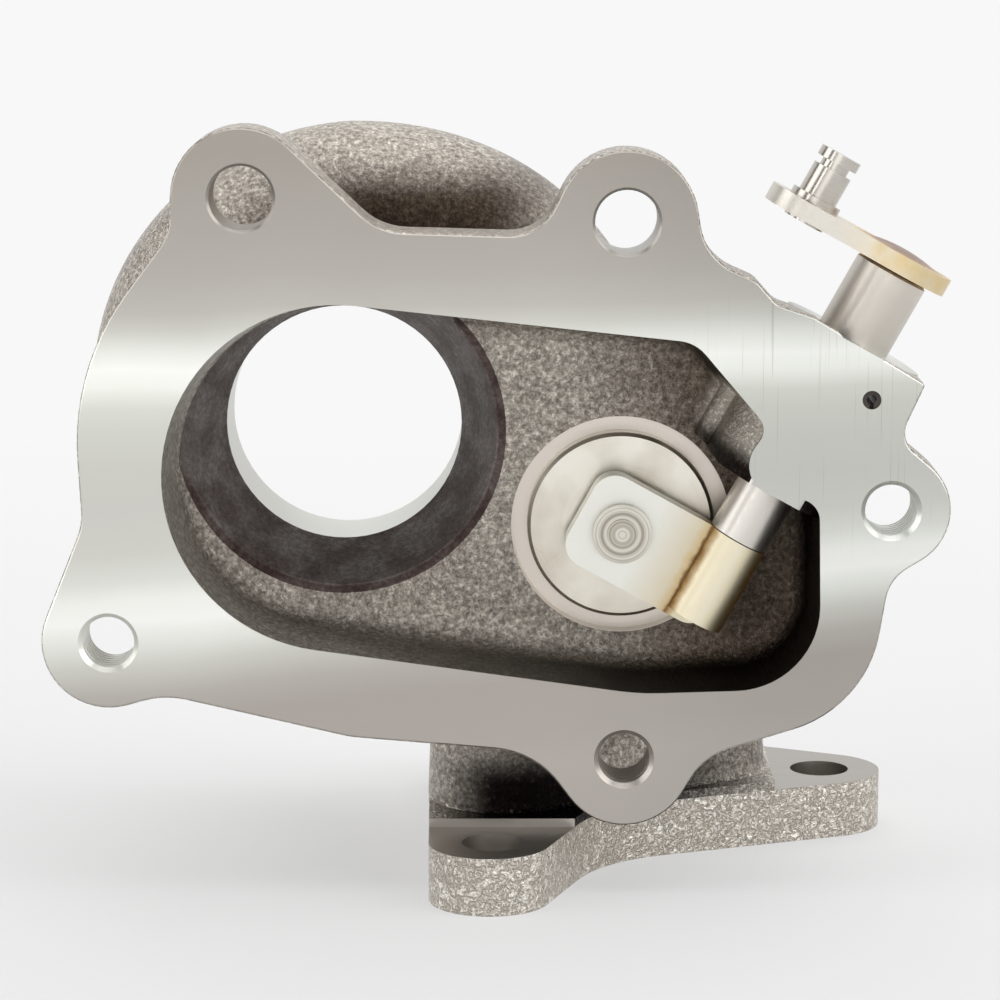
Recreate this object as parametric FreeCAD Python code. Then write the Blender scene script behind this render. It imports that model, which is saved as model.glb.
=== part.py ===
import FreeCAD, Part
import math
import os

# Turbine housing with a built-in bypass valve, in millimetres.
# X is to the right, Y runs along the turbine axis away from the outlet, Z is up.
# The origin is on the turbine axis at the outlet lip of the turbine bore.

Vec = FreeCAD.Vector
FULL_TURN = 2 * math.pi

# Clearances
PRESS = 0.0
RUNNING = 0.05
SEAT_GAP = 0.05
SIDE_PLAY = 0.2
OVERSHOOT = 1.0

# Outlet flange, a chain of circles in X and Z; a negative radius is a concave round
FACE_Y = -28.0
FLANGE_THICK = 10.5
FLANGE_CHAMFER = 0.35
LEFT_HOLE = (-38.3, -32.8)
BOTTOM_HOLE = (47.6, -52.7)
RIGHT_HOLE = (91.5, -10.5)
TOP_HOLE = (47.6, 37.2)
TOP_LEFT_HOLE = (-15.3, 41.1)
FLANGE_OUTLINE = [
    (*LEFT_HOLE, 11.1),
    (-28.7, -56.8, -14.6),
    (4.9, -29.3, 19.8),
    (24.7, -65.6, -14.7),
    (*BOTTOM_HOLE, 11.4),
    (68.4, -61.5, -11.0),
    (69.7, -28.1, 20.5),
    (98.1, -26.5, -7.3),
    (*RIGHT_HOLE, 9.8),
    (97.8, 2.6, -4.3),
    (95.8, 10.3, 0.7),
    (78.0, 20.9, 0.8),
    (74.6, 27.3, -4.2),
    (66.5, 24.4, 3.8),
    (69.4, 38.2, -10.0),
    (*TOP_HOLE, 11.7),
    (28.4, 43.2, -8.2),
    (11.6, 46.3, -10.8),
    (*TOP_LEFT_HOLE, 11.5),
    (-35.7, 38.4, -8.8),
    (0.0, 0.0, 42.8),
    (-52.4, -11.1, -10.1),
]
CLEAR_HOLE_R = 5.25
CLEAR_CHAMFER = 0.45
TAPPED_HOLE_R = 4.3
TAPPED_CHAMFER = 0.75

# Outlet chamber, open at the flange face
CHAMBER_OUTLINE = [
    (0.0, -5.3, 29.0),
    (52.2, -1.2, 40.2),
    (65.8, -26.8, 14.2),
    (76.0, -12.2, 3.7),
    (73.1, -2.9, -5.2),
    (67.1, 3.0, 3.1),
    (55.6, 11.3, 6.5),
]
CHAMBER_FULL = CHAMBER_OUTLINE[:3] + [(72.0, -10.0, 8.0)] + CHAMBER_OUTLINE[-1:]
CHAMBER_FLOOR_Y = -10.5
CHAMBER_DRAFT = 1.5
CHAMBER_FLOOR_ROUND = 4.5
CHAMBER_WALL = 5.0
CHAMBER_BACK_Y = -4.0
CHAMBER_TAIL_Y = 9.0
CHAMBER_TAIL_INSET = -5.5

# Turbine bore and wheel space
BORE_R = 20.25
BORE_LENGTH = 16.5
BELL_R = 27.5
BELL_Y = -12.5
WHEEL_R = 28.0
SHROUD_Y = 21.2
SHROUD_MID = (22.3, 19.9)
NOZZLE_R = 31.0
NOZZLE_WIDTH = 7.0
CORE_R = 27.5

# Centre housing side
REGISTER_R = 34.0
REGISTER_Y = 38.0
REAR_Y = 46.0
CLAMP_R = 41.0
CLAMP_RIM_Y = 42.5
CLAMP_NECK_R = 37.2
CLAMP_NECK_Y = 38.5
REAR_BODY_Y = 24.0
DOWEL_R = 1.5
DOWEL_SEAT_R = 1.8
DOWEL_LENGTH = 7.0
DOWEL_PROUD = 2.5
DOWEL_RADIUS_POS = 37.6

# Volute passage, sized by the angle from +X, anticlockwise seen from the outlet
VOLUTE_Y = 15.0
VOLUTE_WALL = 4.5
VOLUTE_OUTER_START = 52.2
VOLUTE_OUTER_FALL = 0.0665
VOLUTE_INNER_R = 25.2
VOLUTE_DEEP_START = 14.0
VOLUTE_DEEP_FALL = 0.0165
VOLUTE_SPLIT_DEG = 90
VOLUTE_END_DEG = 330
VOLUTE_STEP_DEG = 30
SECTION_POINTS = 12

# Inlet flange and neck, chains of circles in X and Y
GROUND_Z = -76.2
INLET_THICK = 11.3
PAD_DEEP = 1.5
PAD_CLEAR = 0.5
PAD_WIDTH = 52.0
PAD_FRONT_Y = -21.0
PAD_RIGHT_X = 75.5
PAD_REAR_Y = 34.6
FRONT_STUD = (25.7, -30.3)
RIGHT_STUD = (84.7, 18.5)
REAR_STUD = (24.9, 46.4)
INLET_OUTLINE = [
    (25.1, -30.3, 10.2),
    (64.5, -28.5, -26.0),
    (*RIGHT_STUD, 10.8),
    (*REAR_STUD, 11.0),
]
NECK_LEVELS = [
    (-66.0, [(26.8, -4.8, 12.4), (63.0, 15.8, 11.4), (29.0, 27.0, 14.6)]),
    (-48.0, [(27.6, -4.5, 12.6), (61.5, 15.5, 11.8), (30.0, 26.5, 14.8)]),
    (-20.0, [(36.0, 9.0, 13.5), (45.0, 15.0, 13.3), (37.0, 20.0, 13.5)]),
]
NECK_FLARE = 1.4
PORT_CENTRE = (37.5, 13.5)
PORT_R = 19.5
PORT_TOP_Z = -48.0
PORT_TOP_R = 17.5
THROAT_Z = -22.0
THROAT_CENTRE = (39.2, 14.8)
THROAT_R = 15.2

# Bypass valve
VALVE_CENTRE = (47.4, -16.0)
SEAT_Y = -7.3
SEAT_R = 18.6
PORT_MOUTH_R = 12.0
PORT_END_CENTRE = (42.0, -16.0)
PORT_END_R = 10.0
PORT_END_Y = 9.0
VALVE_R = 15.9
VALVE_THICK = 3.7
VALVE_CHAMFER = 0.6
VALVE_HUB_R = 6.0
STEM_R = 3.2
STEM_END_R = 2.5
STEM_PROUD = 0.6
WASHER_R = 5.0
WASHER_THICK = 1.2

# Lever shaft: a point on its axis, its lean from the vertical, stations along it
SHAFT_X = 67.0
SHAFT_Y = -16.4
SHAFT_Z = -17.3
SHAFT_FOOT = Vec(SHAFT_X, SHAFT_Y, SHAFT_Z)
SHAFT_LEAN_DEG = 29.0
SHAFT_R = 3.5
HUB_R = 5.2
HUB_LENGTH = 15.5
ARM_THICK = 4.8
ARM_BACK_Y = -13.4
ARM_WIDTH = 16.9
ARM_REACH = 25.6
ARM_CORNER_R = 4.0
ARM_NEAR = 2.0
BOSS_R = 12.4
BOSS_INNER_S = 10.5
BOSS_OUTER_S = 38.9
BOSS_FACE_R = 12.1
BOSS_CLEAR_R = 20.3
BEAD_R = 2.4
BEAD_SIDE = 12.6
BEAD_Y = -12.2
BEAD_END_S = 24.0
BUSH_R = 6.35
BUSH_NOSE_R = 5.2
BUSH_STEP_S = 15.0
BUSH_END_S = 51.9
BUSH_CHAMFER = 0.4

# Crank on the shaft's outer end
CRANK_THICK = 3.0
CRANK_GAP = 0.3
CRANK_SHAFT_R = 9.3
CRANK_PIN_R = 7.6
CRANK_CENTRES = 17.0
WELD_R = 6.5
WELD_HIGH = 0.8
PIN_COLLAR_R = 4.4
PIN_COLLAR_HIGH = 1.2
PIN_R = 3.4
PIN_GROOVE_R = 2.45
PIN_GROOVE_HIGH = 1.3
PIN_HEAD_R = 3.6
PIN_HEAD_HIGH = 1.7
PIN_HIGH = 9.3
PIN_RIVET_R = 2.2
RIVET_HEAD_R = 3.6
RIVET_HEAD_HIGH = 0.5

# Spring pin that locks the bush
LOCK_CENTRE = (87.9, 8.0)
LOCK_R = 1.55
LOCK_HOLE_R = 0.8
LOCK_SLOT = 0.7
LOCK_LENGTH = 22.0
LOCK_SUNK = 0.6


def on_face(y):
    """Places an X, Z pair on the plane at y."""
    return lambda u, v: Vec(u, y, v)


def on_level(z):
    """Places an X, Y pair on the plane at z."""
    return lambda u, v: Vec(u, v, z)


def belt(circles, place):
    """Closed outline round a chain of circles: common tangents joined by arcs."""
    headings = []
    for (u0, v0, r0), (u1, v1, r1) in zip(circles, circles[1:] + circles[:1]):
        span = math.hypot(u1 - u0, v1 - v0)
        headings.append(math.atan2(v1 - v0, u1 - u0) + math.asin((r0 - r1) / span))
    arcs = []
    for index, (u, v, r) in enumerate(circles):
        start = headings[index - 1]
        turn = (headings[index] - start) % FULL_TURN
        if r < 0:
            turn -= FULL_TURN
        points = []
        for share in (0.0, 0.5, 1.0):
            angle = start + share * turn
            points.append(place(u + r * math.sin(angle), v - r * math.cos(angle)))
        arcs.append(points)
    edges = []
    for points, following in zip(arcs, arcs[1:] + arcs[:1]):
        edges.append(Part.Arc(*points).toShape())
        edges.append(Part.makeLine(points[2], following[0]))
    return Part.Wire(edges)


def grown(circles, amount):
    """The same chain of circles, offset outward by amount."""
    return [(u, v, r + amount) for u, v, r in circles]


def prism(circles, place, travel):
    """Straight solid on a belt outline."""
    return Part.Face(belt(circles, place)).extrude(travel)


def rod(centre, radius, length, axis=Vec(0, 1, 0)):
    return Part.makeCylinder(radius, length, centre, axis)


def turned(profile, origin, axis):
    """Solid of revolution: profile is a list of (radius, station) along the axis."""
    side = Vec(0, 1, 0).cross(axis)
    if abs(axis.y) > abs(axis.x):
        side = Vec(1, 0, 0)
    side.normalize()
    points = [origin + side * r + axis * s for r, s in profile]
    face = Part.Face(Part.makePolygon(points + points[:1]))
    return face.revolve(origin, axis, 360)


def section(centre, out, a, b):
    """Oval section: a along the direction out, b along Y."""
    points = []
    for k in range(SECTION_POINTS):
        angle = FULL_TURN * k / SECTION_POINTS
        points.append(centre + out * (a * math.cos(angle)) + Vec(0, b * math.sin(angle), 0))
    curve = Part.BSplineCurve()
    curve.interpolate(Points=points, PeriodicFlag=True)
    return Part.Wire([curve.toShape()])


def volute_section(degrees, wall):
    """Section of the scroll at an angle, thickened by wall."""
    angle = math.radians(degrees)
    outer = VOLUTE_OUTER_START - VOLUTE_OUTER_FALL * degrees
    half = (outer - VOLUTE_INNER_R) / 2
    deep = VOLUTE_DEEP_START - VOLUTE_DEEP_FALL * degrees
    out = Vec(math.cos(angle), 0, math.sin(angle))
    centre = out * (outer - half) + Vec(0, VOLUTE_Y, 0)
    return section(centre, out, half + wall, deep + wall)


def scroll(wall):
    """The scroll from the throat round the wheel, as two lofts that overlap."""
    throat = section(Vec(*THROAT_CENTRE, THROAT_Z), Vec(1, 0, 0), THROAT_R + wall, THROAT_R + wall)
    rise = [throat]
    for degrees in range(0, VOLUTE_SPLIT_DEG + 1, VOLUTE_STEP_DEG):
        rise.append(volute_section(degrees, wall))
    rest = []
    for degrees in range(VOLUTE_SPLIT_DEG, VOLUTE_END_DEG + 1, VOLUTE_STEP_DEG):
        rest.append(volute_section(degrees, wall))
    return [Part.makeLoft(rise, True, False), Part.makeLoft(rest, True, False)]


def joined(shapes):
    """One solid from overlapping shapes, added one after another."""
    whole = shapes[0]
    for shape in shapes[1:]:
        whole = whole.fuse(shape)
    return whole


def carved(body, cuts):
    """The body with every cut taken out of it in turn."""
    for cut in cuts:
        body = body.cut(cut)
    return body


def edges_at(shape, y):
    """Edges of a shape that lie on the plane at y."""
    return [e for e in shape.Edges if abs(e.BoundBox.YMin - y) < 1e-4 and abs(e.BoundBox.YMax - y) < 1e-4]


LEAN = math.radians(SHAFT_LEAN_DEG)
SHAFT_AXIS = Vec(math.sin(LEAN), 0, math.cos(LEAN))
SHAFT_SIDE = Vec(-math.cos(LEAN), 0, math.sin(LEAN))


def on_shaft(station):
    return SHAFT_FOOT + SHAFT_AXIS * station


def outlet_flange():
    plate = prism(FLANGE_OUTLINE, on_face(FACE_Y), Vec(0, FLANGE_THICK, 0))
    return plate.makeChamfer(FLANGE_CHAMFER, edges_at(plate, FACE_Y))


def chamber_shell():
    """Outer wall of the outlet chamber, drawn in behind to meet the scroll."""
    wide = grown(CHAMBER_FULL, CHAMBER_WALL)
    tail = grown(CHAMBER_FULL, CHAMBER_TAIL_INSET)
    start = FACE_Y + FLANGE_THICK / 2
    wall = prism(wide, on_face(start), Vec(0, CHAMBER_BACK_Y - start, 0))
    wires = [belt(wide, on_face(CHAMBER_BACK_Y)), belt(tail, on_face(CHAMBER_TAIL_Y))]
    return [wall, Part.makeLoft(wires, True, True)]


def chamber_pocket():
    """The chamber's hollow with drafted walls and a rounded floor."""
    narrow = grown(CHAMBER_FULL, -CHAMBER_DRAFT)
    wires = [belt(CHAMBER_FULL, on_face(FACE_Y)), belt(narrow, on_face(CHAMBER_FLOOR_Y))]
    hollow = Part.makeLoft(wires, True, True)
    hollow = hollow.makeFillet(CHAMBER_FLOOR_ROUND, edges_at(hollow, CHAMBER_FLOOR_Y))
    return hollow.common(prism(CHAMBER_OUTLINE, on_face(FACE_Y), Vec(0, CHAMBER_FLOOR_Y - FACE_Y, 0)))


def bell_mouth():
    """Cone from the chamber floor to the bore, kept inside the chamber's outline."""
    cone = Part.makeCone(BELL_R, BORE_R, -BELL_Y, Vec(0, BELL_Y, 0), Vec(0, 1, 0))
    keep = prism(grown(CHAMBER_FULL, -CHAMBER_DRAFT), on_face(BELL_Y), Vec(0, OVERSHOOT - BELL_Y, 0))
    return cone.common(keep)


def wheel_space():
    """Turbine bore, shroud curve, wheel cavity and register as one turned hollow."""
    arc = Part.Arc(
        Vec(BORE_R, BORE_LENGTH, 0),
        Vec(SHROUD_MID[0], SHROUD_MID[1], 0),
        Vec(WHEEL_R, SHROUD_Y, 0),
    ).toShape()
    corners = [
        (WHEEL_R, SHROUD_Y),
        (WHEEL_R, REGISTER_Y),
        (REGISTER_R, REGISTER_Y),
        (REGISTER_R, REAR_Y + OVERSHOOT),
        (0, REAR_Y + OVERSHOOT),
        (0, -OVERSHOOT),
        (BORE_R, -OVERSHOOT),
        (BORE_R, BORE_LENGTH),
    ]
    line = Part.makePolygon([Vec(r, y, 0) for r, y in corners])
    face = Part.Face(Part.Wire([arc] + line.Edges))
    return face.revolve(Vec(0, 0, 0), Vec(0, 1, 0), 360)


def rear_flange():
    """Body behind the scroll with the clamp-band rim."""
    profile = [
        (0, REAR_BODY_Y),
        (CLAMP_NECK_R, REAR_BODY_Y),
        (CLAMP_NECK_R, CLAMP_NECK_Y),
        (CLAMP_R, CLAMP_RIM_Y),
        (CLAMP_R, REAR_Y),
        (0, REAR_Y),
    ]
    return turned(profile, Vec(0, 0, 0), Vec(0, 1, 0))


def flared(circles, amount):
    """The circles grown to the front, right and rear, and kept in line on the left."""
    return [(u + amount, v, r + amount) for u, v, r in circles]


def neck():
    """Inlet neck lofted between belt outlines, from the flared foot up to the throat."""
    parts = []
    foot_z, foot = NECK_LEVELS[0]
    flare = [
        (foot_z, flared(foot, NECK_FLARE)),
        (foot_z + NECK_FLARE, flared(foot, NECK_FLARE / 4)),
        (foot_z + 2 * NECK_FLARE, foot),
    ]
    levels = flare + NECK_LEVELS[1:]
    for (z0, low), (z1, high) in zip(levels, levels[1:]):
        wires = [belt(low, on_level(z0)), belt(high, on_level(z1))]
        parts.append(Part.makeLoft(wires, True, True))
    return parts


def inlet_passage():
    """Round hollow from the inlet port up to the throat."""
    rings = [
        section(Vec(*PORT_CENTRE, GROUND_Z), Vec(1, 0, 0), PORT_R, PORT_R),
        section(Vec(*PORT_CENTRE, PORT_TOP_Z), Vec(1, 0, 0), PORT_TOP_R, PORT_TOP_R),
        section(Vec(*THROAT_CENTRE, THROAT_Z), Vec(1, 0, 0), THROAT_R, THROAT_R),
    ]
    return [Part.makeLoft(rings[:2], True, True), Part.makeLoft(rings[1:], True, True)]


def inlet_flange():
    return prism(INLET_OUTLINE, on_level(GROUND_Z), Vec(0, 0, INLET_THICK))


def seat_cuts():
    """Spot-faced valve seat and the bypass port behind it."""
    mouth = Part.makeCircle(PORT_MOUTH_R, Vec(VALVE_CENTRE[0], SEAT_Y, VALVE_CENTRE[1]), Vec(0, 1, 0))
    end = Part.makeCircle(PORT_END_R, Vec(PORT_END_CENTRE[0], PORT_END_Y, PORT_END_CENTRE[1]), Vec(0, 1, 0))
    port = Part.makeLoft([Part.Wire([mouth]), Part.Wire([end])], True, True)
    spot_from = CHAMBER_FLOOR_Y - CHAMBER_FLOOR_ROUND
    spot = rod(Vec(VALVE_CENTRE[0], spot_from, VALVE_CENTRE[1]), SEAT_R, SEAT_Y - spot_from)
    return [spot, port]


def chamfered_hole(centre, direction, radius, length, chamfer):
    """Hole with a countersunk mouth at its centre point, for cutting."""
    bore = rod(centre, radius, length, direction)
    mouth = Part.makeCone(radius + chamfer, radius, chamfer, centre, direction)
    return [bore, mouth]


def flange_holes():
    cuts = []
    away = Vec(0, 1, 0)
    for x, z in (TOP_LEFT_HOLE, TOP_HOLE):
        cuts += chamfered_hole(Vec(x, FACE_Y, z), away, CLEAR_HOLE_R, FLANGE_THICK, CLEAR_CHAMFER)
    for x, z in (LEFT_HOLE, RIGHT_HOLE, BOTTOM_HOLE):
        cuts += chamfered_hole(Vec(x, FACE_Y, z), away, TAPPED_HOLE_R, FLANGE_THICK, TAPPED_CHAMFER)
    return cuts


def stud_cuts():
    """Stud holes, and the flat pads milled round them out past the flange's edge."""
    cuts = []
    for x, y in (FRONT_STUD, RIGHT_STUD, REAR_STUD):
        cuts.append(rod(Vec(x, y, GROUND_Z), CLEAR_HOLE_R, INLET_THICK, Vec(0, 0, 1)))
    low = GROUND_Z + INLET_THICK - PAD_DEEP
    corners = [
        (FRONT_STUD[0] - PAD_WIDTH / 2, PAD_FRONT_Y - PAD_WIDTH),
        (PAD_RIGHT_X, RIGHT_STUD[1] - PAD_WIDTH / 2),
        (REAR_STUD[0] - PAD_WIDTH / 2, PAD_REAR_Y),
    ]
    for x, y in corners:
        cuts.append(Part.makeBox(PAD_WIDTH, PAD_WIDTH, PAD_DEEP + PAD_CLEAR, Vec(x, y, low)))
    return cuts


def shaft_boss():
    """Boss round the shaft with a bead at its foot, milled level and cleared round the valve."""
    boss = rod(on_shaft(BOSS_INNER_S), BOSS_R, BOSS_OUTER_S - BOSS_INNER_S, SHAFT_AXIS)
    bead_start = on_shaft(BOSS_INNER_S) + SHAFT_SIDE * BEAD_SIDE
    bead_start.y = BEAD_Y
    boss = boss.fuse(rod(bead_start, BEAD_R, BEAD_END_S - BOSS_INNER_S, SHAFT_AXIS))
    front = FACE_Y - BOSS_R
    milled = rod(Vec(SHAFT_X, front, SHAFT_Z), BOSS_OUTER_S + BOSS_R, BOSS_R)
    valve_side = rod(Vec(VALVE_CENTRE[0], front, VALVE_CENTRE[1]), BOSS_CLEAR_R, 2 * BOSS_R - front)
    return carved(boss, [milled, valve_side])


def bush_cuts():
    """Stepped hole in the boss for the shaft bush, and the boss's milled end."""
    wide = rod(on_shaft(BUSH_STEP_S), BUSH_R + PRESS, BUSH_END_S - BUSH_STEP_S, SHAFT_AXIS)
    nose = rod(on_shaft(0), BUSH_NOSE_R + PRESS, BUSH_STEP_S, SHAFT_AXIS)
    end_face = rod(on_shaft(BOSS_OUTER_S), BOSS_FACE_R, BUSH_END_S - BOSS_OUTER_S, SHAFT_AXIS)
    return [wide, nose, end_face]


def lock_hole():
    return rod(Vec(LOCK_CENTRE[0], FACE_Y, LOCK_CENTRE[1]), LOCK_R + PRESS, LOCK_SUNK + LOCK_LENGTH)


def dowel_hole():
    depth = DOWEL_LENGTH - DOWEL_PROUD
    return rod(Vec(0, REAR_Y - depth, DOWEL_RADIUS_POS), DOWEL_SEAT_R + PRESS, depth)


def housing_casting():
    core = rod(Vec(0, CHAMBER_FLOOR_Y, 0), CORE_R, REAR_BODY_Y + OVERSHOOT - CHAMBER_FLOOR_Y)
    nozzle = rod(Vec(0, SHROUD_Y, 0), NOZZLE_R, NOZZLE_WIDTH)
    outer = [core, outlet_flange()] + chamber_shell() + [rear_flange(), inlet_flange()]
    outer += neck() + scroll(VOLUTE_WALL)
    body = joined(outer).cut(chamber_pocket()).fuse(shaft_boss())
    body = carved(body, [bell_mouth(), wheel_space()] + inlet_passage() + scroll(0.0) + [nozzle])
    body = carved(body, seat_cuts() + flange_holes() + stud_cuts())
    return carved(body, bush_cuts() + [lock_hole(), dowel_hole()])


def shaft_bush():
    profile = [
        (SHAFT_R + RUNNING, SIDE_PLAY),
        (BUSH_NOSE_R, SIDE_PLAY),
        (BUSH_NOSE_R, BUSH_STEP_S),
        (BUSH_R, BUSH_STEP_S),
        (BUSH_R, BUSH_END_S - BUSH_CHAMFER),
        (BUSH_R - BUSH_CHAMFER, BUSH_END_S),
        (SHAFT_R + RUNNING, BUSH_END_S),
    ]
    return turned(profile, SHAFT_FOOT, SHAFT_AXIS).cut(lock_hole())


def bush_lock_pin():
    centre = Vec(LOCK_CENTRE[0], FACE_Y + LOCK_SUNK, LOCK_CENTRE[1])
    pin = rod(centre, LOCK_R, LOCK_LENGTH).cut(rod(centre, LOCK_HOLE_R, LOCK_LENGTH))
    slot = Part.makeBox(LOCK_SLOT, LOCK_LENGTH, LOCK_R, centre - Vec(LOCK_SLOT / 2, 0, LOCK_R))
    return pin.cut(slot)


def arm_front_y():
    return ARM_BACK_Y - ARM_THICK


def lever_arm():
    """Flat arm and the hub it is welded to."""
    along = VALVE_CENTRE[0] - SHAFT_FOOT.x
    up = VALVE_CENTRE[1] - SHAFT_FOOT.z
    middle = along * SHAFT_AXIS.x + up * SHAFT_AXIS.z
    half = ARM_WIDTH / 2 - ARM_CORNER_R
    far = ARM_REACH - ARM_CORNER_R
    corners = []
    for side, reach in ((-half, ARM_NEAR), (half, ARM_NEAR), (half, far), (-half, far)):
        spot = on_shaft(middle + side) + SHAFT_SIDE * reach
        corners.append((spot.x, spot.z, ARM_CORNER_R))
    plate = prism(corners, on_face(arm_front_y()), Vec(0, ARM_THICK, 0))
    hub = rod(on_shaft(-HUB_LENGTH), HUB_R, HUB_LENGTH, SHAFT_AXIS)
    bore = rod(on_shaft(-HUB_LENGTH), SHAFT_R + PRESS, HUB_LENGTH + OVERSHOOT, SHAFT_AXIS)
    stem_hole = rod(Vec(VALVE_CENTRE[0], arm_front_y(), VALVE_CENTRE[1]), STEM_R + RUNNING, ARM_THICK)
    return joined([plate, hub]).cut(bore).cut(stem_hole)


def lever_shaft():
    """Shaft from the hub out through the crank, ending in a weld dome."""
    top = BUSH_END_S + CRANK_GAP + CRANK_THICK
    shaft = rod(on_shaft(-HUB_LENGTH), SHAFT_R, HUB_LENGTH + top, SHAFT_AXIS)
    ball_r = (WELD_R ** 2 + WELD_HIGH ** 2) / (2 * WELD_HIGH)
    ball = Part.makeSphere(ball_r, on_shaft(top + WELD_HIGH - ball_r))
    dome = ball.common(rod(on_shaft(top), WELD_R, WELD_HIGH, SHAFT_AXIS))
    return joined([shaft, dome])


def valve_disc():
    """Disc with the stem that passes through the arm and the washer."""
    away = Vec(0, -1, 0)
    base = Vec(VALVE_CENTRE[0], SEAT_Y - SEAT_GAP, VALVE_CENTRE[1])
    shoulder = base.y - ARM_BACK_Y - SIDE_PLAY
    washer_back = base.y - arm_front_y() + SIDE_PLAY
    washer_front = washer_back + WASHER_THICK
    profile = [
        (0, 0),
        (VALVE_R, 0),
        (VALVE_R, VALVE_THICK - VALVE_CHAMFER),
        (VALVE_R - VALVE_CHAMFER, VALVE_THICK),
        (VALVE_HUB_R, VALVE_THICK),
        (VALVE_HUB_R, shoulder),
        (STEM_R, shoulder),
        (STEM_R, washer_back),
        (STEM_END_R, washer_back),
        (STEM_END_R, washer_front + STEM_PROUD),
        (0, washer_front + STEM_PROUD),
    ]
    return turned(profile, base, away)


def valve_washer():
    back = arm_front_y() - SIDE_PLAY
    centre = Vec(VALVE_CENTRE[0], back - WASHER_THICK, VALVE_CENTRE[1])
    return rod(centre, WASHER_R, WASHER_THICK).cut(rod(centre, STEM_END_R + PRESS, WASHER_THICK))


def crank_arm():
    """Two-ended plate square to the shaft."""
    base = BUSH_END_S + CRANK_GAP
    start = on_shaft(base)

    def place(u, v):
        return start + SHAFT_SIDE * u + Vec(0, v, 0)

    ends = [(0, 0, CRANK_SHAFT_R), (CRANK_CENTRES, 0, CRANK_PIN_R)]
    plate = prism(ends, place, SHAFT_AXIS * CRANK_THICK)
    pin_foot = start + SHAFT_SIDE * CRANK_CENTRES
    plate = plate.cut(rod(start, SHAFT_R + PRESS, CRANK_THICK, SHAFT_AXIS))
    return plate.cut(rod(pin_foot, PIN_RIVET_R + PRESS, CRANK_THICK, SHAFT_AXIS))


def crank_pin():
    """Grooved pin riveted through the crank."""
    foot = on_shaft(BUSH_END_S + CRANK_GAP) + SHAFT_SIDE * CRANK_CENTRES
    top = CRANK_THICK + PIN_HIGH
    groove_top = top - PIN_HEAD_HIGH
    groove_low = groove_top - PIN_GROOVE_HIGH
    profile = [
        (0, -RIVET_HEAD_HIGH),
        (RIVET_HEAD_R, -RIVET_HEAD_HIGH),
        (RIVET_HEAD_R, 0),
        (PIN_RIVET_R, 0),
        (PIN_RIVET_R, CRANK_THICK),
        (PIN_COLLAR_R, CRANK_THICK),
        (PIN_COLLAR_R, CRANK_THICK + PIN_COLLAR_HIGH),
        (PIN_R, CRANK_THICK + PIN_COLLAR_HIGH),
        (PIN_R, groove_low),
        (PIN_GROOVE_R, groove_low),
        (PIN_GROOVE_R, groove_top),
        (PIN_HEAD_R, groove_top),
        (PIN_HEAD_R, top),
        (0, top),
    ]
    return turned(profile, foot, SHAFT_AXIS)


def locating_dowel():
    """Dowel with a wider seat, sunk level with the rear face."""
    depth = DOWEL_LENGTH - DOWEL_PROUD
    seat = rod(Vec(0, REAR_Y - depth, DOWEL_RADIUS_POS), DOWEL_SEAT_R, depth)
    end = rod(Vec(0, REAR_Y, DOWEL_RADIUS_POS), DOWEL_R, DOWEL_PROUD)
    return joined([seat, end])


PARTS = [
    housing_casting,
    shaft_bush,
    bush_lock_pin,
    lever_arm,
    lever_shaft,
    valve_disc,
    valve_washer,
    crank_arm,
    crank_pin,
    locating_dowel,
]

os.makedirs("parts", exist_ok=True)
for build in PARTS:
    shape = build()
    shape.exportStep("parts/" + build.__name__ + ".step")
    box = shape.BoundBox
    print(build.__name__, len(shape.Solids), "solid", "valid" if shape.isValid() else "not valid")
    print("   ", [round(v, 1) for v in (box.XMin, box.XMax, box.YMin, box.YMax, box.ZMin, box.ZMax)])
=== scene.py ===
"""Looks of a turbine housing with its bypass valve: finishes, stage, light and camera."""

import math

import bpy
import numpy as np
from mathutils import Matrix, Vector

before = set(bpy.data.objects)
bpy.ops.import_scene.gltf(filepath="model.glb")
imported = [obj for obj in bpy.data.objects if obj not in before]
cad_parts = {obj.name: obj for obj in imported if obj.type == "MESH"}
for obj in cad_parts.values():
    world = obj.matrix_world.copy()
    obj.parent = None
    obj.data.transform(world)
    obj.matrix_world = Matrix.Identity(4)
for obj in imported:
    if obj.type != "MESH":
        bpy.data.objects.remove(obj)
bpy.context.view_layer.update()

# Millimetres to Blender's metres
MM = 0.001

# The casting's machined features, in millimetres as in the part's source
OUTLET_Y = -28.0
REAR_Y = 46.0
INLET_Z = -76.2
FLANGE_BACK_Y = -17.4
TAPPED_HOLES = [(-38.3, -32.8), (47.6, -52.7), (91.5, -10.5)]
TAPPED_R = 4.3
PLAIN_HOLES = [(47.6, 37.2), (-15.3, 41.1)]
PLAIN_R = 5.25
CHAMFER = 0.8
FLANGE_CHAMFER = 0.35
THREAD_PITCH = 1.5
STUDS = [(25.7, -30.3), (84.7, 18.5), (24.9, 46.4)]
STUD_R = 5.25
PAD_Z = -66.4
PAD_TOP_Z = -64.3
PAD_FRONT_Y = -21.0
PAD_RIGHT_X = 75.5
PAD_REAR_Y = 34.6
BORE_R = 20.25
BORE_END_Y = 16.6
BELL_R = 27.5
BELL_Y = -12.5
TURNED_R = 34.1
TURNED_FROM_Y = 16.5
RIM_R = 41.1
RIM_FROM_Y = 42.4
SEAT_Y = -7.3
SEAT_R = 18.65
CHAMBER_FLOOR_Y = -10.5
CHAMBER_LEFT = (0.0, -5.3)
CHAMBER_LEFT_R = 31.5
CHAMBER_RIGHT_X = 82.5
CHAMBER_LOW_Z = -37.0
CHAMBER_LOW_FALL = 0.137
CHAMBER_HIGH_Z = 26.2
CHAMBER_HIGH_FALL = 0.106
CHAMBER_WALL_FALL = 0.05
RUBBED_AT = (82.0, 0, 8.0)
VALVE_CENTRE = (47.4, -16.0)
RIVET_RINGS_R = 4.6

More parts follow.
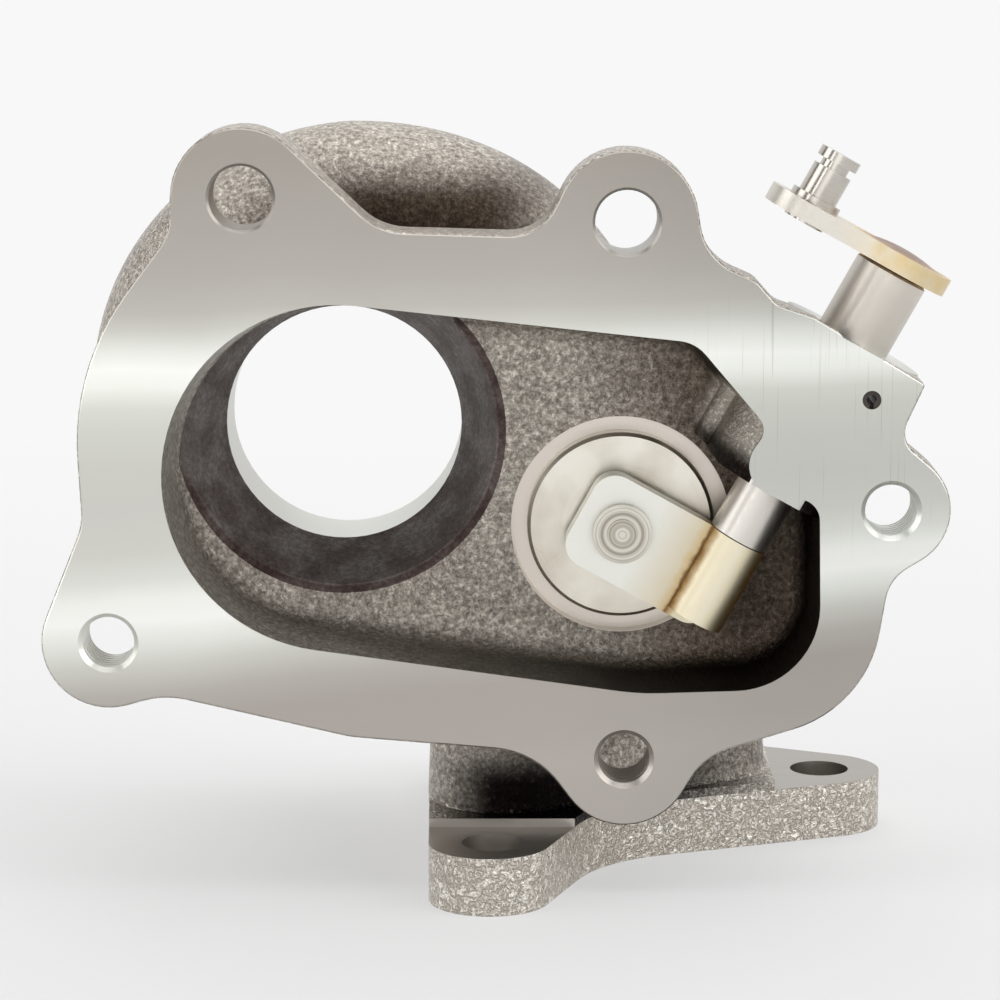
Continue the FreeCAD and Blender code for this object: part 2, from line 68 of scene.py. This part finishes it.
# The lever's shaft: a point on its axis, its direction, and stations along it
SHAFT_FOOT = (67.0, -16.4, -17.3)
SHAFT_LEAN = math.radians(29.0)
SHAFT_AXIS = (math.sin(SHAFT_LEAN), 0.0, math.cos(SHAFT_LEAN))
SHAFT_SIDE = (-math.cos(SHAFT_LEAN), 0.0, math.sin(SHAFT_LEAN))
BOSS_R = 12.5
BOSS_END_S = 38.9
CRANK_S = 53.7
HUB_R = 5.2

# Largest grains of the cast skin, creases on the inlet flange and swells of the mould, in millimetres
GRAIN = 0.9
CREASE = 1.0
SWELL = 6.0

# Tones of each skin of the casting, from its hollows to its bright grains, of the painted shade, and of the
# scratches
CAST_TONES = [
    (0.34, "#746c64"), (0.44, "#948d84"), (0.50, "#aaa399"), (0.56, "#bfb8ae"), (0.66, "#eee8dd"),
]
CREASED_TONES = [
    (0.32, "#cfc8be"), (0.41, "#c6bfb5"), (0.455, "#a39b90"), (0.485, "#a69e93"), (0.53, "#cfc8be"),
    (0.62, "#e0dbd2"), (0.70, "#f7f4ed"),
]
THROAT_TONES = [(0.30, "#5b5351"), (0.50, "#766f6c"), (0.70, "#978f8b")]
CLOUD_TONES = [(0.38, "#cbc2c0"), (0.62, "#ffffff")]
PAINTED_SHADE_TONES = [(0.40, "#0f0b0b"), (0.60, "#1f1919"), (0.72, "#544c49")]
SCRATCH_TONES = [(0.30, "#e9e8e6"), (0.34, "#ffffff")]

# Bands of painted reflection across the milled faces, from the lowest to the highest
BAND_RANGE = 55.0
MILLED_REFLECTION_BANDS = [
    (0.00, "#b9b3ac"), (0.05, "#b5aea8"), (0.136, "#b2aba5"), (0.175, "#bbb6b0"), (0.218, "#d1d1ca"),
    (0.245, "#e5e6df"), (0.28, "#f9f9f5"), (0.31, "#f4f4ef"), (0.34, "#e0e1da"), (0.38, "#d3d3cc"),
    (0.445, "#cecdc7"), (0.51, "#cfcfc8"), (0.555, "#d3d4cc"), (0.586, "#dbdcd4"), (0.618, "#f4f5ee"),
    (0.645, "#fbfbf6"), (0.673, "#e9eae3"), (0.705, "#cdcdc6"), (0.73, "#bfbcb5"), (0.78, "#b4b0a9"),
    (0.845, "#aca7a0"), (0.96, "#a29c95"),
]

# Settings of a colour laid over another one, and of a colour that darkens another one
OVER = {"data_type": "RGBA"}
DARKEN = {"data_type": "RGBA", "blend_type": "MULTIPLY"}

# Directions kept when a distance is measured across the turbine axis, or across an upright one
ACROSS_Y = (1.0, 0.0, 1.0)
ACROSS_Z = (1.0, 1.0, 0.0)

# Camera, as the photograph was taken
CAMERA_AT = (0.02686, -0.580, 0.09038)
CAMERA_DOWN = math.radians(10.17)
CAMERA_LENS = 122.4
SENSOR = 36.0


def srgb(code):
    """Linear colour of an sRGB hex code such as "#c8c4bc"."""
    parts = [int(code[i:i + 2], 16) / 255 for i in (1, 3, 5)]
    return [c / 12.92 if c <= 0.04045 else ((c + 0.055) / 1.055) ** 2.4 for c in parts] + [1.0]


def feed(tree, node, feeds):
    """Fills a node's inputs, by name or number, each from a value, a socket or a node.

    A node stands for its first enabled output.
    """
    for name, value in feeds.items() if isinstance(feeds, dict) else enumerate(feeds):
        if isinstance(value, bpy.types.Node):
            value = next(output for output in value.outputs if output.enabled)
        if isinstance(value, bpy.types.NodeSocket):
            tree.links.new(value, node.inputs[name])
        else:
            node.inputs[name].default_value = value


def add(tree, kind, feeds=(), stops=(), **settings):
    """Adds one node with its settings and links. Stops are a ramp's positions and hex colours."""
    made = tree.nodes.new("ShaderNode" + kind)
    for name, value in settings.items():
        setattr(made, name, value)
    feed(tree, made, feeds)
    for index, (position, code) in enumerate(stops):
        elements = made.color_ramp.elements
        element = elements[index] if index < len(elements) else elements.new(position)
        element.position = position
        element.color = srgb(code)
    return made


def new_material(name):
    """An empty node material: its tree, its shader, and object coordinates in millimetres."""
    material = bpy.data.materials.new(name)
    material.use_nodes = True
    tree = material.node_tree
    shader = tree.nodes["Principled BSDF"]
    place = add(tree, "TexCoord").outputs["Object"]
    at = add(tree, "VectorMath", {0: place, "Scale": 1 / MM}, operation="SCALE")
    return material, tree, shader, at


def joined(tree, masks, operation):
    """Masks made one: MAXIMUM holds where any of them does, MINIMUM where all of them do."""
    result = masks[0]
    for mask in masks[1:]:
        result = add(tree, "Math", [result, mask], operation=operation)
    return result


def inside(tree, limits):
    """One where every value lies between its low and high limit, and nought elsewhere."""
    masks = []
    for value, low, high in limits:
        masks.append(add(tree, "Math", [value, (low + high) / 2, (high - low) / 2], operation="COMPARE"))
    return joined(tree, masks, "MINIMUM")


def faded(tree, limits):
    """Product of soft steps, each nought where its value is at start and one where it is at end."""
    steps = []
    for value, start, end in limits:
        sizes = {"Value": value, "From Min": start, "From Max": end}
        steps.append(add(tree, "MapRange", sizes, interpolation_type="SMOOTHSTEP"))
    return joined(tree, steps, "MULTIPLY")


def radius_from(tree, at, centre, keep):
    """Distance from an axis through a centre; keep holds a nought for the axis's direction."""
    away = add(tree, "VectorMath", [at, centre], operation="SUBTRACT")
    flat = add(tree, "VectorMath", [away, keep], operation="MULTIPLY")
    return add(tree, "VectorMath", [flat], operation="LENGTH")


def along_shaft(tree, at, direction):
    """Distance from the foot of the lever's shaft, measured along a direction."""
    away = add(tree, "VectorMath", [at, SHAFT_FOOT], operation="SUBTRACT")
    return add(tree, "VectorMath", [away, direction], operation="DOT_PRODUCT")


def beside_shaft(tree, at):
    """Distance from the axis of the lever's shaft."""
    away = add(tree, "VectorMath", [at, SHAFT_FOOT], operation="SUBTRACT")
    turned = add(tree, "VectorMath", [away, SHAFT_AXIS], operation="CROSS_PRODUCT")
    return add(tree, "VectorMath", [turned], operation="LENGTH")


def machined_places(tree, at, x, y, z):
    """Mask of every milled, turned or drilled surface of the casting."""
    from_bore = radius_from(tree, at, (0, 0, 0), ACROSS_Y)
    from_valve = radius_from(tree, at, (VALVE_CENTRE[0], 0, VALVE_CENTRE[1]), ACROSS_Y)
    up_shaft = along_shaft(tree, at, SHAFT_AXIS)
    # Room for rounding on either side of a flat face
    hair = 0.03
    places = [
        [(y, OUTLET_Y - hair, OUTLET_Y + FLANGE_CHAMFER / 2)],
        [(z, INLET_Z - hair, INLET_Z + hair)],
        [(y, REAR_Y - hair, REAR_Y + hair)],
        [(z, PAD_Z - hair, PAD_Z + hair)],
        [(y, PAD_FRONT_Y - hair, PAD_FRONT_Y + hair), (z, PAD_Z, PAD_TOP_Z)],
        [(x, PAD_RIGHT_X - hair, PAD_RIGHT_X + hair), (z, PAD_Z, PAD_TOP_Z)],
        [(y, PAD_REAR_Y - hair, PAD_REAR_Y + hair), (z, PAD_Z, PAD_TOP_Z)],
        [(from_bore, 0, BORE_R + hair), (y, hair, BORE_END_Y)],
        [(from_bore, 0, TURNED_R), (y, TURNED_FROM_Y, REAR_Y)],
        [(from_bore, 0, RIM_R), (y, RIM_FROM_Y, REAR_Y)],
        [(from_valve, 0, SEAT_R), (y, CHAMBER_FLOOR_Y, SEAT_Y + hair)],
        [(up_shaft, BOSS_END_S - hair, BOSS_END_S + hair), (beside_shaft(tree, at), 0, BOSS_R)],
    ]
    for holes, radius in ((TAPPED_HOLES, TAPPED_R), (PLAIN_HOLES, PLAIN_R)):
        for u, v in holes:
            from_hole = radius_from(tree, at, (u, 0, v), ACROSS_Y)
            places.append([(from_hole, 0, radius + CHAMFER), (y, OUTLET_Y, FLANGE_BACK_Y)])
    for u, v in STUDS:
        from_stud = radius_from(tree, at, (u, v, 0), ACROSS_Z)
        places.append([(from_stud, 0, STUD_R + hair), (z, INLET_Z, PAD_TOP_Z)])
    return joined(tree, [inside(tree, place) for place in places], "MAXIMUM")


def painted_shade_places(tree, at, x, y, z):
    """Share of painted shade, on the chamber's walls and on the neck where the flange hides it.

    Also gives the share of painted shade on the chamber's floor behind the valve, and the share of the boss.
    """
    low_edge = add(tree, "Math", [x, CHAMBER_LOW_FALL, z], operation="MULTIPLY_ADD")
    high_edge = add(tree, "Math", [x, CHAMBER_HIGH_FALL, z], operation="MULTIPLY_ADD")
    from_left = radius_from(tree, at, (CHAMBER_LEFT[0], 0, CHAMBER_LEFT[1]), ACROSS_Y)
    left = inside(tree, [(from_left, 0, CHAMBER_LEFT_R)])
    middle = inside(tree, [
        (x, 0, CHAMBER_RIGHT_X), (low_edge, CHAMBER_LOW_Z, 80.0), (high_edge, -80.0, CHAMBER_HIGH_Z),
    ])
    chamber = joined(tree, [middle, left], "MAXIMUM")
    on_boss = faded(tree, [
        (beside_shaft(tree, at), 18.0, 15.0), (along_shaft(tree, at, SHAFT_AXIS), 12.0, 16.0),
    ])
    off_boss = add(tree, "Math", [1.0, on_boss], operation="SUBTRACT")
    depth = add(tree, "Math", [x, -CHAMBER_WALL_FALL, y], operation="MULTIPLY_ADD")
    wall = faded(tree, [(depth, -14.0, -19.5)])
    rising = {"Value": x, "From Min": -5.0, "From Max": 48.0, "To Min": 0.2, "To Max": 0.95}
    deeper = add(tree, "MapRange", rising)
    walls = joined(tree, [wall, chamber, deeper, off_boss], "MULTIPLY")
    from_tap = radius_from(tree, at, (TAPPED_HOLES[1][0], 0, TAPPED_HOLES[1][1] - 3.0), ACROSS_Y)
    neck = faded(tree, [
        (z, -50.0, -60.0), (x, 12.0, 26.0), (x, 92.0, 50.0), (y, 32.0, -4.0), (from_tap, 4.0, 8.0),
    ])
    low_down = inside(tree, [(z, PAD_Z, -40.0)])
    neck = add(tree, "Math", [neck, low_down], operation="MULTIPLY")
    painted_shade = add(tree, "Math", [walls, neck], operation="MAXIMUM")
    floor_shade = joined(tree, [chamber, off_boss, faded(tree, [(x, 34.0, 66.0)])], "MULTIPLY")
    return painted_shade, floor_shade, on_boss


def cast_skin(tree, at, x, y, z, inlet):
    """Colour of the sand-cast skin, with its grain and its slow swell for the relief."""
    painted_shade, floor_shade, on_boss = painted_shade_places(tree, at, x, y, z)

    # The bell mouth and its rounded lip, and painted shade on the scroll where it goes behind the flange
    from_bore = radius_from(tree, at, (0, 0, 0), ACROSS_Y)
    bell = inside(tree, [(from_bore, 0, BELL_R + 0.4), (y, BELL_Y - 0.5, 0.02)])
    flare = add(tree, "Math", [y, (BELL_R - BORE_R) / -BELL_Y, from_bore], operation="MULTIPLY_ADD")
    on_lip = faded(tree, [(flare, BORE_R + 0.05, BORE_R + 0.5)])
    painted_shade_behind_flange = faded(tree, [
        (z, 47.0, 38.0), (z, 26.0, 30.0), (x, 44.0, 24.0), (x, -22.0, 6.0), (y, -17.0, -14.0),
    ])

    # Grains, or creases on the inlet flange, that the swell shifts a little towards light or dark
    fine = add(tree, "TexNoise", {"Vector": at, "Scale": 1 / GRAIN, "Detail": 4.0, "Roughness": 0.85})
    worm = add(tree, "TexNoise", {"Vector": at, "Scale": 1 / CREASE, "Detail": 2.0, "Distortion": 1.2})
    swell = add(tree, "TexNoise", {"Vector": at, "Scale": 1 / SWELL, "Detail": 2.0})
    grain = add(tree, "Mix", {0: inlet, 2: fine, 3: worm}, data_type="FLOAT")
    lit = add(tree, "Math", [swell, 0.08, grain], operation="MULTIPLY_ADD")
    lit = add(tree, "Math", [lit, 0.04], operation="SUBTRACT")

    general = add(tree, "ValToRGB", [lit], CAST_TONES)
    creased = add(tree, "ValToRGB", [lit], CREASED_TONES)
    throat = add(tree, "ValToRGB", [lit], THROAT_TONES)
    cloudy = add(tree, "ValToRGB", [swell], CLOUD_TONES)
    painted_shade_colour = add(tree, "ValToRGB", [lit], PAINTED_SHADE_TONES)
    # Painted shade on the chamber's floor behind the valve
    colour = add(tree, "Mix", {0: floor_shade, 6: general, 7: srgb("#a0978f")}, **DARKEN)
    paler = add(tree, "Math", [on_boss, 0.75], operation="MULTIPLY")
    colour = add(tree, "Mix", {0: paler, 6: colour, 7: creased}, **OVER)
    colour = add(tree, "Mix", {0: inlet, 6: colour, 7: creased}, **OVER)
    # Painted shade on the scroll where the flange hides it
    colour = add(tree, "Mix", {0: painted_shade_behind_flange, 6: colour, 7: srgb("#6d635b")}, **DARKEN)
    throat = add(tree, "Mix", {0: 1.0, 6: throat, 7: cloudy}, **DARKEN)
    throat = add(tree, "Mix", {0: on_lip, 6: throat, 7: srgb("#d2c8c8")}, **DARKEN)
    colour = add(tree, "Mix", {0: bell, 6: colour, 7: throat}, **OVER)
    # Painted shade on the chamber's walls and on the neck under the flange
    colour = add(tree, "Mix", {0: painted_shade, 6: colour, 7: painted_shade_colour}, **OVER)
    return colour, grain, swell


def machined_skin(tree, at, x, y, z):
    """Colour of the milled and turned faces, with their cutting marks for the relief.

    The marks are 0.3 mm apart and run along X. The bands are painted reflection: they follow height,
    a little tilted and spread towards the right, and they wander by a few millimetres. The faces
    are also painted a little darker towards the right.
    """
    stretched = add(tree, "VectorMath", [at, (0.02, 1.0, 3.3)], operation="MULTIPLY")
    marks = add(tree, "TexNoise", {"Vector": stretched, "Scale": 1.0, "Detail": 2.0})
    wander = add(tree, "TexNoise", {"Vector": at, "Scale": 1 / 30.0, "Detail": 1.0})
    spread = add(tree, "Math", [x, 0.0012, 1.0], operation="MULTIPLY_ADD")
    fall = add(tree, "Math", [x, -0.052], operation="MULTIPLY")
    tilt = add(tree, "Math", [z, spread, fall], operation="MULTIPLY_ADD")
    # Place within the painted reflection bands
    reflection_band_at = add(tree, "Math", [wander, 4.0, tilt], operation="MULTIPLY_ADD")
    share = add(tree, "MapRange", {"Value": reflection_band_at, "From Min": -BAND_RANGE, "From Max": BAND_RANGE})
    colour = add(tree, "ValToRGB", [share], MILLED_REFLECTION_BANDS)
    righter = faded(tree, [(x, 30.0, 80.0)])
    colour = add(tree, "Mix", {0: righter, 6: colour, 7: srgb("#eff0f0")}, **DARKEN)

    from_valve = radius_from(tree, at, (VALVE_CENTRE[0], 0, VALVE_CENTRE[1]), ACROSS_Y)
    seat = inside(tree, [(from_valve, 0, SEAT_R + 0.1), (y, CHAMBER_FLOOR_Y, SEAT_Y + 0.1)])
    colour = add(tree, "Mix", {0: seat, 6: colour, 7: srgb("#dcd4cb")}, **OVER)
    upright = add(tree, "VectorMath", [at, (3.0, 0.0, 0.03)], operation="MULTIPLY")
    streak = add(tree, "TexNoise", {"Vector": upright, "Scale": 1.0, "Detail": 1.0})
    scratch = add(tree, "ValToRGB", [streak], SCRATCH_TONES)
    rubbed = faded(tree, [(radius_from(tree, at, RUBBED_AT, ACROSS_Y), 30.0, 14.0)])
    colour = add(tree, "Mix", {0: rubbed, 6: colour, 7: scratch}, **DARKEN)
    return colour, marks


def thread_ridges(tree, at, y):
    """Height of the threads in the tapped holes: a wave of one pitch along each hole."""
    threaded = []
    for u, v in TAPPED_HOLES:
        from_hole = radius_from(tree, at, (u, 0, v), ACROSS_Y)
        threaded.append(inside(tree, [(from_hole, 0, TAPPED_R + 0.05), (y, OUTLET_Y + 1.0, FLANGE_BACK_Y)]))
    turn = add(tree, "Math", [y, 2 * math.pi / THREAD_PITCH], operation="MULTIPLY")
    wave = add(tree, "Math", [turn], operation="SINE")
    ridge = add(tree, "Math", [wave, 0.3], operation="MULTIPLY")
    return add(tree, "Math", [ridge, joined(tree, threaded, "MAXIMUM")], operation="MULTIPLY")


def cast_and_machined():
    """Sand-cast nickel iron, shot-blasted, then machined on its faces and in its bores.

    The cast skin is grey-brown and glints on grains half a millimetre across, coarser and
    paler on the inlet flange, with painted shade in the chamber, under the flange and on the
    scroll behind it. The milled and turned faces are pale and satin, with faint straight
    cutting marks and slow bands of painted reflection.
    """
    material, tree, shader, at = new_material("sand_cast_nickel_iron")
    x, y, z = add(tree, "SeparateXYZ", [at]).outputs
    machined = machined_places(tree, at, x, y, z)
    inlet = add(tree, "Math", [z, PAD_TOP_Z], operation="LESS_THAN")
    cast, grain, swell = cast_skin(tree, at, x, y, z, inlet)
    milled, marks = machined_skin(tree, at, x, y, z)
    colour = add(tree, "Mix", {0: machined, 6: cast, 7: milled}, **OVER)
    smooth = add(tree, "Math", [marks, 0.1, 0.30], operation="MULTIPLY_ADD")
    rough = add(tree, "Math", [grain, 0.15, 0.28], operation="MULTIPLY_ADD")
    gloss = add(tree, "Mix", {0: machined, 2: rough, 3: smooth}, data_type="FLOAT")

    # Heights in millimetres
    fine_marks = add(tree, "Math", [marks, 0.004, thread_ridges(tree, at, y)], operation="MULTIPLY_ADD")
    relief = add(tree, "Mix", {0: inlet, 2: 0.36, 3: 0.9}, data_type="FLOAT")
    coarse = add(tree, "Math", [grain, relief], operation="MULTIPLY")
    coarse = add(tree, "Math", [swell, 0.3, coarse], operation="MULTIPLY_ADD")
    height = add(tree, "Mix", {0: machined, 2: coarse, 3: fine_marks}, data_type="FLOAT")
    bump = add(tree, "Bump", {"Height": height, "Distance": MM, "Strength": 1.0})
    feed(tree, shader, {"Base Color": colour, "Metallic": 1.0, "Roughness": gloss, "Normal": bump})
    return material


def turned_steel(name, centre, axis, tint, gloss=0.15):
    """Steel shank turned on a lathe: bright, with fine marks round its axis."""
    material, tree, shader, at = new_material(name)
    away = add(tree, "VectorMath", [at, centre], operation="SUBTRACT")
    along = add(tree, "VectorMath", [away, axis], operation="DOT_PRODUCT")
    cut = add(tree, "TexNoise", {"W": along, "Scale": 4.0, "Detail": 2.0}, noise_dimensions="1D")
    slow = add(tree, "TexNoise", {"Vector": at, "Scale": 1 / 7.0, "Detail": 2.0})
    blend = add(tree, "Mix", {0: 0.85, 2: cut, 3: slow}, data_type="FLOAT")
    colour = add(tree, "ValToRGB", [blend], [(0.30, tint[0]), (0.70, tint[1])])
    rough = add(tree, "Math", [cut, 0.06, gloss], operation="MULTIPLY_ADD")
    height = add(tree, "Math", [cut, 0.0008], operation="MULTIPLY")
    bump = add(tree, "Bump", {"Height": height, "Distance": MM})
    feed(tree, shader, {"Base Color": colour, "Metallic": 1.0, "Roughness": rough, "Normal": bump})
    return material


def faced_steel(name, tint):
    """Steel faced on a lathe, then riveted: satin, with rings that show only near the rivet."""
    material, tree, shader, at = new_material(name)
    out = radius_from(tree, at, (VALVE_CENTRE[0], 0, VALVE_CENTRE[1]), ACROSS_Y)
    cut = add(tree, "TexNoise", {"W": out, "Scale": 1.6, "Detail": 1.5}, noise_dimensions="1D")
    slow = add(tree, "TexNoise", {"Vector": at, "Scale": 1 / 9.0, "Detail": 2.0})
    blend = add(tree, "Mix", {0: 0.92, 2: cut, 3: slow}, data_type="FLOAT")
    plain = add(tree, "ValToRGB", [blend], [(0.32, tint[0]), (0.66, tint[1])])
    ringed = add(tree, "ValToRGB", [cut], [(0.36, "#a09a8f"), (0.46, "#bbb5a9"), (0.60, "#dcd8ce")])
    near = faded(tree, [(out, RIVET_RINGS_R, RIVET_RINGS_R - 0.2)])
    colour = add(tree, "Mix", {0: near, 6: plain, 7: ringed}, **OVER)
    rough = add(tree, "Math", [slow, 0.15, 0.22], operation="MULTIPLY_ADD")
    depth = add(tree, "Math", [near, 0.015, 0.0015], operation="MULTIPLY_ADD")
    height = add(tree, "Math", [cut, depth], operation="MULTIPLY")
    bump = add(tree, "Bump", {"Height": height, "Distance": MM})
    feed(tree, shader, {"Base Color": colour, "Metallic": 1.0, "Roughness": rough, "Normal": bump})
    return material


def tinted_steel(name, heat, wander, colours, gloss=0.28):
    """Satin steel, turned or stamped, in the tones that working and welding left on it; on the bush, the
    tones are painted shade.

    Heat gives a place across it, 0 to 1, which wanders by a few tenths of a millimetre. Near
    a weld the colours run from brown through gold and straw to the bare metal.
    """
    material, tree, shader, at = new_material(name)
    cloud = add(tree, "TexNoise", {"Vector": at, "Scale": 1 / 2.5, "Detail": 3.0})
    drift = add(tree, "Math", [cloud, 2 * wander, heat(tree, at)], operation="MULTIPLY_ADD")
    share = add(tree, "Math", [drift, wander], operation="SUBTRACT", use_clamp=True)
    colour = add(tree, "ValToRGB", [share], colours)
    grit = add(tree, "TexNoise", {"Vector": at, "Scale": 1 / 0.35, "Detail": 2.0})
    rough = add(tree, "Math", [grit, 0.2, gloss], operation="MULTIPLY_ADD")
    height = add(tree, "Math", [grit, 0.012], operation="MULTIPLY")
    bump = add(tree, "Bump", {"Height": height, "Distance": MM})
    feed(tree, shader, {"Base Color": colour, "Metallic": 1.0, "Roughness": rough, "Normal": bump})
    return material


def heat_near_hub(tree, at):
    """Distance across the hub towards the valve, from 0 at the hub's far edge to 1 at 24 mm."""
    across = along_shaft(tree, at, SHAFT_SIDE)
    return add(tree, "MapRange", {"Value": across, "From Min": -HUB_R, "From Max": 24.0 - HUB_R})


def heat_at_crank(tree, at):
    """Distance from the shaft's end on the crank, from 0 at the weld to 1 at 24 mm."""
    end = tuple(foot + CRANK_S * share for foot, share in zip(SHAFT_FOOT, SHAFT_AXIS))
    away = add(tree, "VectorMath", [at, end], operation="DISTANCE")
    return add(tree, "Math", [away, 24.0], operation="DIVIDE")


def place_on_bush(tree, at):
    """Share of the bush's length, from 0 at its nose to 1 at the crank."""
    return add(tree, "Math", [along_shaft(tree, at, SHAFT_AXIS), CRANK_S], operation="DIVIDE")


# Tones along the bush, its outer part darker with painted shade, and heat colours out from the weld on the
# hub and from the one on the crank
BUSH_TONES_WITH_SHADE = [(0.00, "#d9d4cd"), (0.68, "#d4cec6"), (0.74, "#c6c0b7"), (0.90, "#cec8bf"), (1.00, "#dad5cc")]
HUB_HEAT = [
    (0.00, "#a9743a"), (0.03, "#cda869"), (0.08, "#e4d9b8"), (0.20, "#ebe3cc"), (0.36, "#e6dcc0"),
    (0.405, "#b79a6c"), (0.425, "#7d5f40"), (0.445, "#cfb98d"), (0.50, "#d9cfb8"), (0.62, "#e0dacb"),
    (0.80, "#e9e9e2"),
]
CRANK_HEAT = [
    (0.00, "#a58a62"), (0.20, "#937a72"), (0.29, "#b79a78"), (0.36, "#dcc696"), (0.46, "#e0d7c4"),
    (0.60, "#d9d4cb"),
]


def give(node, material):
    """Puts one material in every slot of a CAD node."""
    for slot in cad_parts[node].material_slots:
        slot.material = material


give("housing_casting", cast_and_machined())
give("shaft_bush", tinted_steel("turned_steel_bush", place_on_bush, 0.01, BUSH_TONES_WITH_SHADE))
give("bush_lock_pin", turned_steel("spring_steel_pin", SHAFT_FOOT, (0, 1, 0), ("#3c3836", "#5b5652")))
give("lever_arm", tinted_steel("stamped_steel_lever", heat_near_hub, 0.03, HUB_HEAT, gloss=0.36))
give("lever_shaft", tinted_steel("welded_steel_shaft", heat_at_crank, 0.08, CRANK_HEAT))
give("crank_arm", tinted_steel("stamped_steel_crank", heat_at_crank, 0.08, CRANK_HEAT))
give("valve_disc", faced_steel("faced_steel_disc", ("#cfc8ba", "#ece7dc")))
give("valve_washer", faced_steel("faced_steel_washer", ("#b8b2a6", "#dcd7cc")))
give("crank_pin", turned_steel("turned_steel_pin", SHAFT_FOOT, SHAFT_AXIS, ("#b4aea6", "#cfcac2"), gloss=0.2))
give("locating_dowel", turned_steel("ground_steel_dowel", (0, 0, 0), (0, 1, 0), ("#b0aca6", "#d6d3ce")))


def sweep(name, width, deep, front, high, bend):
    """Paper sweep: a flat floor, a quarter round of radius bend, and an upright back.

    The profile is worked out in Y and Z and carried along X.
    """
    turn = np.linspace(0.0, np.pi / 2, 25)
    ground = INLET_Z * MM
    y = np.concatenate([[-front], deep - bend + bend * np.sin(turn), [deep]])
    z = np.concatenate([[ground], ground + bend - bend * np.cos(turn), [ground + high]])
    x = np.array([-width / 2, width / 2])
    grid_x, grid_y = np.meshgrid(x, y)
    grid_z = np.repeat(z[:, None], 2, axis=1)
    points = np.stack([grid_x, grid_y, grid_z], axis=-1).reshape(-1, 3)
    row = np.arange(len(y) - 1) * 2
    faces = np.stack([row, row + 1, row + 3, row + 2], axis=1)
    mesh = bpy.data.meshes.new(name)
    mesh.from_pydata(points.tolist(), [], faces.tolist())
    mesh.shade_smooth()
    made = bpy.data.objects.new(name, mesh)
    bpy.context.scene.collection.objects.link(made)
    return made


# Share of the paper's plain tone under the object, where its shadow has to show
FRONT_GLOW = 0.52


def paper():
    """Matt white studio paper, a plain pale tone to the camera and in the metal, with its shadow."""
    material, tree, shader, at = new_material("white_studio_paper")
    back = add(tree, "SeparateXYZ", [at]).outputs[1]
    rise = add(tree, "MapRange", {"Value": back, "From Min": 40.0, "From Max": 450.0})
    glow = add(tree, "Emission", {"Color": srgb("#f8f8f8"), "Strength": 1.0})
    rays = add(tree, "LightPath").outputs
    kinds = [rays["Is Camera Ray"], rays["Is Glossy Ray"], rays["Is Transmission Ray"]]
    seen = joined(tree, kinds, "MAXIMUM")
    plain = add(tree, "Math", [rise, 1.0 - FRONT_GLOW, FRONT_GLOW], operation="MULTIPLY_ADD")
    glowing = add(tree, "Math", [seen, plain], operation="MULTIPLY")
    both = add(tree, "MixShader", [glowing, shader, glow])
    feed(tree, shader, {"Base Color": srgb("#d6d6d6"), "Roughness": 0.9})
    feed(tree, tree.nodes["Material Output"], {"Surface": both})
    return material


backdrop = sweep("paper_sweep", width=7.0, deep=1.4, front=4.0, high=1.6, bend=0.9)
backdrop.data.materials.append(paper())


def softbox(name, place, target, size, brightness):
    """Flat soft light aimed at a point, as bright as white paper where brightness is 1."""
    lamp = bpy.data.lights.new(name, "AREA")
    lamp.shape = "RECTANGLE"
    lamp.size, lamp.size_y = size
    lamp.energy = brightness * math.pi * size[0] * size[1]
    made = bpy.data.objects.new(name, lamp)
    bpy.context.scene.collection.objects.link(made)
    made.visible_camera = False
    made.location = place
    made.rotation_euler = (Vector(target) - Vector(place)).to_track_quat("-Z", "Y").to_euler()
    return made


# Soft light from both sides and above, strips for the metal's edges, and a low light in front
CENTRE = (0.025, 0.0, -0.01)
softbox("right_light", (1.9, -0.4, 1.1), CENTRE, (1.4, 1.8), 2.6)
softbox("top_light", (0.1, 0.4, 2.1), CENTRE, (2.6, 2.6), 2.0)
softbox("left_light", (-1.9, -0.4, 0.9), CENTRE, (1.2, 1.8), 2.2)
softbox("left_strip", (-1.5, -1.9, 0.5), CENTRE, (0.3, 1.2), 4.0)
softbox("right_strip", (1.4, -1.9, 0.5), CENTRE, (0.5, 1.2), 3.0)
softbox("front_light", (0.0, -3.0, 0.35), CENTRE, (3.6, 0.8), 1.0)

# The room: white paper up to just above eye level, and dimmer above it
world = bpy.data.worlds.new("studio_room")
world.use_nodes = True
room = world.node_tree
upward = add(room, "SeparateXYZ", [add(room, "TexCoord").outputs["Generated"]]).outputs[2]
dimming = {"Value": upward, "From Min": 0.08, "From Max": 0.3, "To Min": 1.0, "To Max": 0.14}
level = add(room, "MapRange", dimming)
feed(room, room.nodes["Background"], {"Color": srgb("#f8f8f8"), "Strength": level})
bpy.context.scene.world = world

camera_data = bpy.data.cameras.new("camera")
camera_data.sensor_width = SENSOR
camera_data.lens = CAMERA_LENS
camera = bpy.data.objects.new("camera", camera_data)
bpy.context.scene.collection.objects.link(camera)
camera.location = CAMERA_AT
camera.rotation_euler = (math.pi / 2 - CAMERA_DOWN, 0.0, 0.0)
bpy.context.scene.camera = camera
bpy.context.scene.view_settings.view_transform = "Standard"
